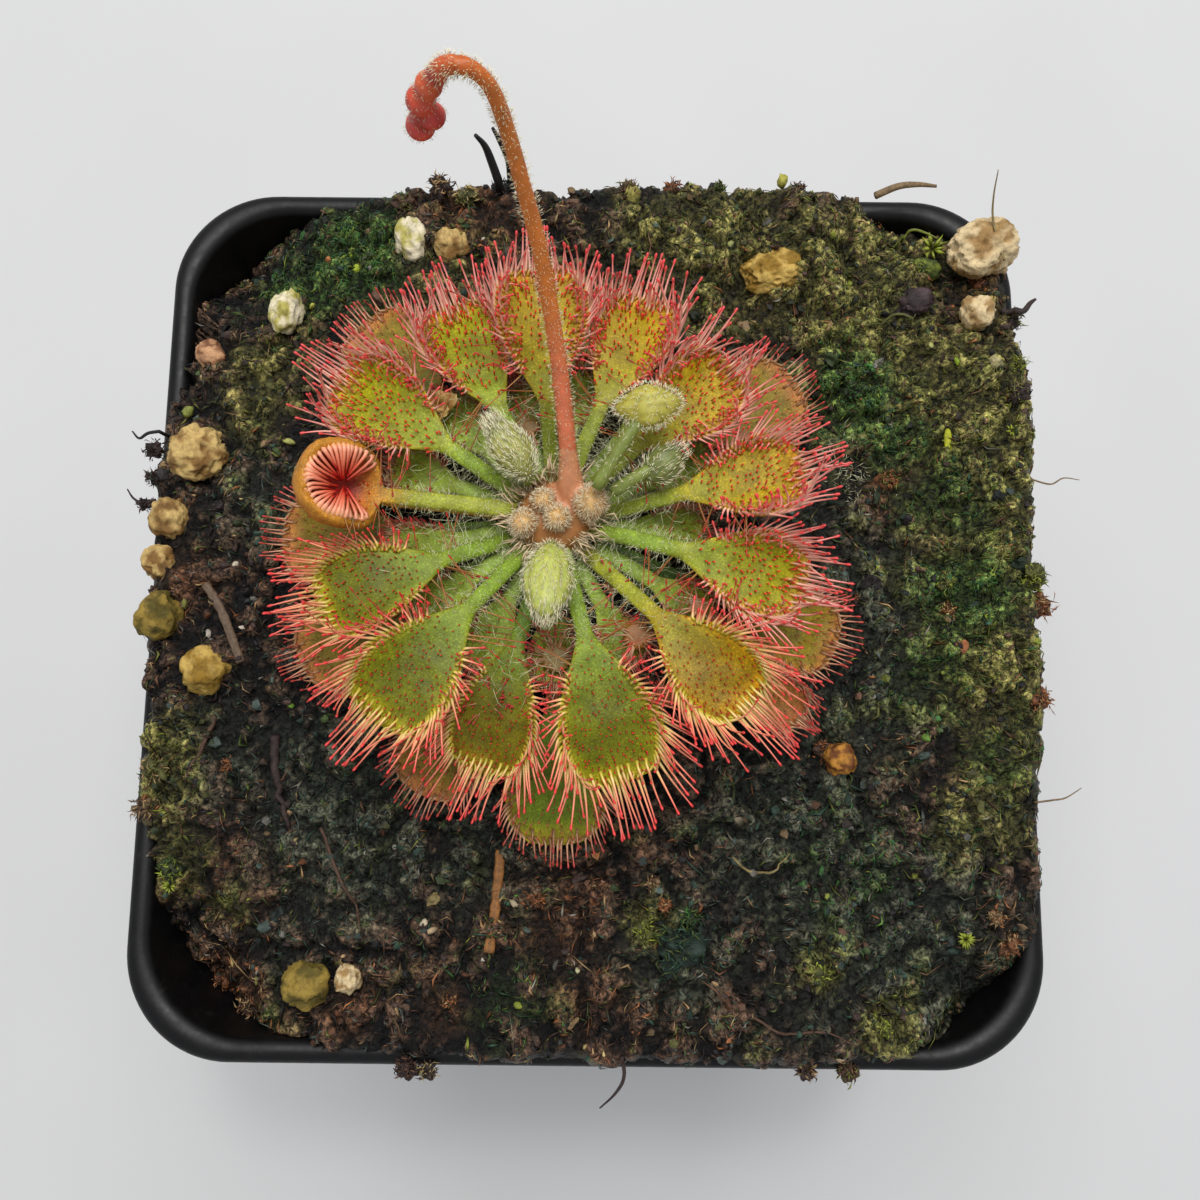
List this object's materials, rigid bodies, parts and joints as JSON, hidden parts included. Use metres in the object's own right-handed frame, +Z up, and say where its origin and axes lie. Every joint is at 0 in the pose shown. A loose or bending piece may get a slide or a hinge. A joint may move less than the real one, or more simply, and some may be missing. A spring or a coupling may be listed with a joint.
{
  "type": "potted sundew",
  "caption": "Sundew rosette of tentacled spoon-shaped leaves with a nodding flower stalk, growing in peat in a square black nursery pot.",
  "frame": {"origin": "middle of the pot's flat underside", "axes": "+Z up, +Y towards the pot's far side, above which the flower stalk leans, +X to the right"},
  "size_m": [0.076, 0.076, 0.1097],
  "materials": {
    "pot": "satin black",
    "peat": "moist fibrous peat with moss",
    "crown": "fleshy, hairy",
    "leaf": "waxy green with red glands",
    "lower_leaf": "waxy reddish green",
    "young_leaf": "pale green, hairy",
    "stalk": "hairy orange-red",
    "flower_bud": "soft red",
    "perlite": "rough, porous, stained",
    "pebble": "algae-covered",
    "bark": "rough bark",
    "twig": "dry"
  },
  "bodies": {
    "root": {"bark_chip": "bark", "crown": "crown", "flower_buds": "flower_bud", "flower_stalk": "stalk", "green_pebble": "pebble", "leaf_east": "leaf", "leaf_east_north_east": "leaf", "leaf_north": "leaf", "leaf_north_east": "leaf", "leaf_north_north_east": "leaf", "leaf_north_north_west": "leaf", "leaf_north_west": "leaf", "leaf_south": "leaf", "leaf_south_east": "leaf", "leaf_south_south_west": "leaf", "leaf_south_west": "leaf", "leaf_west": "leaf", "leaf_west_south_west": "leaf", "lower_leaf_east": "lower_leaf", "lower_leaf_north": "lower_leaf", "lower_leaf_north_east": "lower_leaf", "lower_leaf_north_west": "lower_leaf", "lower_leaf_south": "lower_leaf", "lower_leaf_south_east": "lower_leaf", "lower_leaf_south_south_west": "lower_leaf", "lower_leaf_west": "lower_leaf", "lower_leaf_west_south_west": "lower_leaf", "peat": "peat", "perlite_01": "perlite", "perlite_02": "perlite", "perlite_03": "perlite", "perlite_04": "perlite", "perlite_05": "perlite", "perlite_06": "perlite", "perlite_07": "perlite", "perlite_08": "perlite", "perlite_09": "perlite", "perlite_10": "perlite", "perlite_11": "perlite", "perlite_12": "perlite", "perlite_13": "perlite", "perlite_14": "perlite", "perlite_15": "perlite", "pot": "pot", "twig_front": "twig", "twig_left": "twig", "young_leaf_east": "young_leaf", "young_leaf_north_east": "young_leaf", "young_leaf_north_west": "young_leaf", "young_leaf_south": "young_leaf"}
  },
  "joints": []
}
